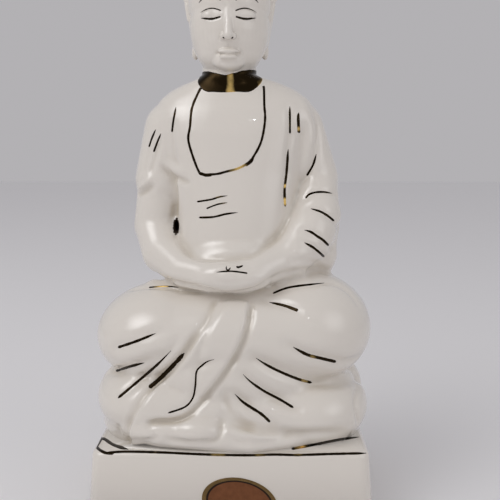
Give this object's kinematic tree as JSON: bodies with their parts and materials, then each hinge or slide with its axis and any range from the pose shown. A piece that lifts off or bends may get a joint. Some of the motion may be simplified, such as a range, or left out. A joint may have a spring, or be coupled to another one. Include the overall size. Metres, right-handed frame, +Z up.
{
  "type": "ceramic buddha statue",
  "caption": "White glazed ceramic figure seated in meditation on a rectangular plinth, robe over both shoulders, gold-lined folds; a free-standing ornament.",
  "frame": {"origin": "middle of the plinth's foot, on the surface that it stands on", "axes": "+Z up; -Y towards the front, where the figure faces; +X to the viewer's right, the side of the arm that the robe covers"},
  "size_m": [0.1234, 0.097, 0.253],
  "materials": {
    "white_glaze": "glossy white glaze with hand-brushed gold lustre lines",
    "copper_foil": "copper-brown metallic foil on paper, blank"
  },
  "bodies": {
    "root": {"statue": "white_glaze", "oval_sticker": "copper_foil"}
  },
  "joints": []
}
